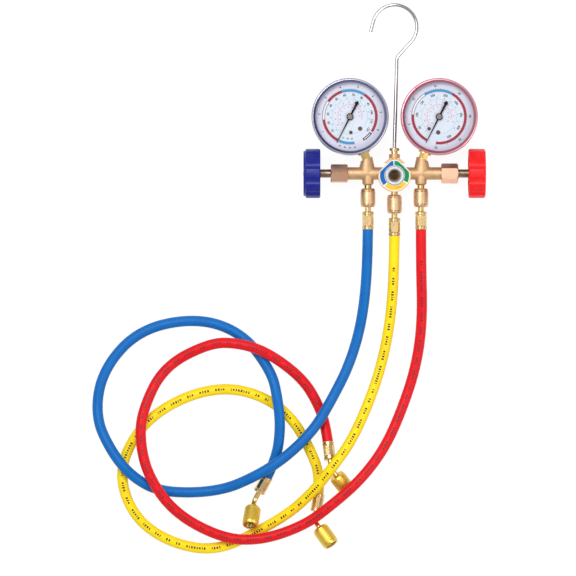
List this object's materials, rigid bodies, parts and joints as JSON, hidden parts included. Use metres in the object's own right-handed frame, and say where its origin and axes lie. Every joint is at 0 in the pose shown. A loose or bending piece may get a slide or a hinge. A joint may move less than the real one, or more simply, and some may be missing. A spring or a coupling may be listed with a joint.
{
  "type": "refrigerant manifold gauge",
  "caption": "Refrigerant service manifold with compound and high-pressure gauges, hand valves, sight glass, hanging hook and coloured charging hoses with swivel nuts.",
  "frame": {"origin": "under the middle of the manifold, gauges, knobs and hook, on the surface it lies on", "axes": "+X to the high-pressure side, +Y to the hook, +Z out of the dials"},
  "size_m": [0.3747, 0.524, 0.0472],
  "materials": {
    "cast_brass": "satin, as cast",
    "nut_brass": "polished",
    "sight_glass": "clear",
    "plated_steel": "nickel plated",
    "label": "printed film",
    "hook_wire": "zinc plated",
    "packing": "plain",
    "screw_steel": "zinc plated",
    "tailpiece_brass": "turned",
    "ferrule_brass": "satin, crimped",
    "gasket": "matt",
    "low_knob": "moulded",
    "high_knob": "moulded",
    "case_steel": "satin paint",
    "low_bezel": "bright",
    "high_bezel": "bright",
    "lens": "clear",
    "dial": "printed, matt",
    "socket_brass": "polished",
    "bronze_tube": "drawn",
    "movement_brass": "machined",
    "pointer": "matt black",
    "low_hose": "smooth cover",
    "service_hose": "smooth cover",
    "high_hose": "smooth cover",
    "coupling_brass": "knurled",
    "end_brass": "knurled, bright"
  },
  "bodies": {
    "manifold": {"manifold_body": "cast_brass", "sight_window": "sight_glass", "sight_ring": "plated_steel", "sight_label": "label", "hook_nut": "nut_brass", "packing_nuts": "nut_brass", "stem_packings": "packing", "dial_screws": "screw_steel", "movement_screws": "screw_steel", "port_tailpieces": "tailpiece_brass", "hose_ferrules": "ferrule_brass", "port_gaskets": "gasket", "end_gaskets": "gasket", "core_depressors": "tailpiece_brass", "low_gauge_case": "case_steel", "low_gauge_bezel": "low_bezel", "low_gauge_lens": "lens", "low_dial": "dial", "low_gauge_socket": "socket_brass", "low_bourdon_tube": "bronze_tube", "low_movement_frame": "movement_brass", "high_gauge_case": "case_steel", "high_gauge_bezel": "high_bezel", "high_gauge_lens": "lens", "high_dial": "dial", "high_gauge_socket": "socket_brass", "high_bourdon_tube": "bronze_tube", "high_movement_frame": "movement_brass", "low_hose": "low_hose", "low_end_pipe": "end_brass", "service_hose": "service_hose", "service_end_pipe": "end_brass", "high_hose": "high_hose", "high_end_pipe": "end_brass"},
    "hook": {"hook": "hook_wire"},
    "low_handle": {"low_valve_stem": "plated_steel", "low_knob": "low_knob", "low_knob_screw": "screw_steel"},
    "low_plunger": {"low_seal_plunger": "packing"},
    "low_needle": {"low_pointer": "pointer", "low_pinion": "movement_brass"},
    "low_sector": {"low_sector_gear": "movement_brass"},
    "low_link": {"low_tip_link": "movement_brass"},
    "high_handle": {"high_valve_stem": "plated_steel", "high_knob": "high_knob", "high_knob_screw": "screw_steel"},
    "high_plunger": {"high_seal_plunger": "packing"},
    "high_needle": {"high_pointer": "pointer", "high_pinion": "movement_brass"},
    "high_sector": {"high_sector_gear": "movement_brass"},
    "high_link": {"high_tip_link": "movement_brass"},
    "low_port_swivel": {"low_port_nut": "coupling_brass"},
    "low_end_swivel": {"low_end_nut": "end_brass"},
    "service_port_swivel": {"service_port_nut": "coupling_brass"},
    "service_end_swivel": {"service_end_nut": "end_brass"},
    "high_port_swivel": {"high_port_nut": "coupling_brass"},
    "high_end_swivel": {"high_end_nut": "end_brass"}
  },
  "joints": [
    {"name": "low_plunger_slide", "type": "slide", "parent": "manifold", "child": "low_plunger", "axis": [-1, 0, 0], "range_m": [0, 0.0025]},
    {"name": "low_knob_turn", "type": "hinge", "parent": "low_plunger", "child": "low_handle", "pos_m": [-0.0704, -0.06396, 0.0236], "axis": [-1, 0, 0], "range_deg": [0, 720]},
    {"name": "low_sector_turn", "type": "hinge", "parent": "manifold", "child": "low_sector", "pos_m": [-0.03726, -0.02295, 0.0236], "axis": [0, 0, 1], "range_deg": [-6.7, 50.9]},
    {"name": "low_needle_turn", "type": "hinge", "parent": "manifold", "child": "low_needle", "pos_m": [-0.0423, -0.01026, 0.0236], "axis": [0, 0, -1], "range_deg": [-37, 280]},
    {"name": "low_link_turn", "type": "hinge", "parent": "low_sector", "child": "low_link", "pos_m": [-0.03799, -0.02789, 0.0236], "axis": [0, 0, 1], "range_deg": [-50.9, 6.7]},
    {"name": "high_plunger_slide", "type": "slide", "parent": "manifold", "child": "high_plunger", "axis": [1, 0, 0], "range_m": [0, 0.0025]},
    {"name": "high_knob_turn", "type": "hinge", "parent": "high_plunger", "child": "high_handle", "pos_m": [0.0704, -0.06396, 0.0236], "axis": [1, 0, 0], "range_deg": [0, 720]},
    {"name": "high_sector_turn", "type": "hinge", "parent": "manifold", "child": "high_sector", "pos_m": [0.03726, -0.02295, 0.0236], "axis": [0, 0, 1], "range_deg": [0, 61.8]},
    {"name": "high_needle_turn", "type": "hinge", "parent": "manifold", "child": "high_needle", "pos_m": [0.0423, -0.01026, 0.0236], "axis": [0, 0, -1], "range_deg": [0, 340]},
    {"name": "high_link_turn", "type": "hinge", "parent": "high_sector", "child": "high_link", "pos_m": [0.03334, -0.02605, 0.0236], "axis": [0, 0, 1], "range_deg": [-61.8, 0]},
    {"name": "low_port_nut_swivel", "type": "hinge", "parent": "manifold", "child": "low_port_swivel", "pos_m": [-0.0252, -0.08396, 0.0236], "axis": [0, 1, 0], "continuous": true},
    {"name": "low_end_nut_swivel", "type": "hinge", "parent": "manifold", "child": "low_end_swivel", "pos_m": [-0.13442, -0.38226, 0.00989], "axis": [-0.1361, -0.8018, 0.5819], "continuous": true},
    {"name": "service_port_nut_swivel", "type": "hinge", "parent": "manifold", "child": "service_port_swivel", "pos_m": [0, -0.08996, 0.0236], "axis": [0, 1, 0], "continuous": true},
    {"name": "service_end_nut_swivel", "type": "hinge", "parent": "manifold", "child": "service_end_swivel", "pos_m": [-0.07083, -0.40132, 0.01127], "axis": [0.5653, -0.7798, 0.269], "continuous": true},
    {"name": "high_port_nut_swivel", "type": "hinge", "parent": "manifold", "child": "high_port_swivel", "pos_m": [0.0252, -0.08396, 0.0236], "axis": [0, 1, 0], "continuous": true},
    {"name": "high_end_nut_swivel", "type": "hinge", "parent": "manifold", "child": "high_end_swivel", "pos_m": [-0.05503, -0.3514, 0.01416], "axis": [0.5848, -0.7594, -0.2851], "continuous": true},
    {"name": "hook_swivel", "type": "hinge", "parent": "manifold", "child": "hook", "pos_m": [0, -0.04396, 0.0236], "axis": [0, 1, 0], "continuous": true}
  ],
  "couplings": [
    {"joint": "low_plunger_slide", "follows": "low_knob_turn", "m_per_rad": 0.00019894},
    {"joint": "low_needle_turn", "follows": "low_sector_turn", "ratio": 5.5},
    {"joint": "low_link_turn", "follows": "low_sector_turn", "ratio": -1},
    {"joint": "high_plunger_slide", "follows": "high_knob_turn", "m_per_rad": 0.00019894},
    {"joint": "high_needle_turn", "follows": "high_sector_turn", "ratio": 5.5},
    {"joint": "high_link_turn", "follows": "high_sector_turn", "ratio": -1}
  ]
}
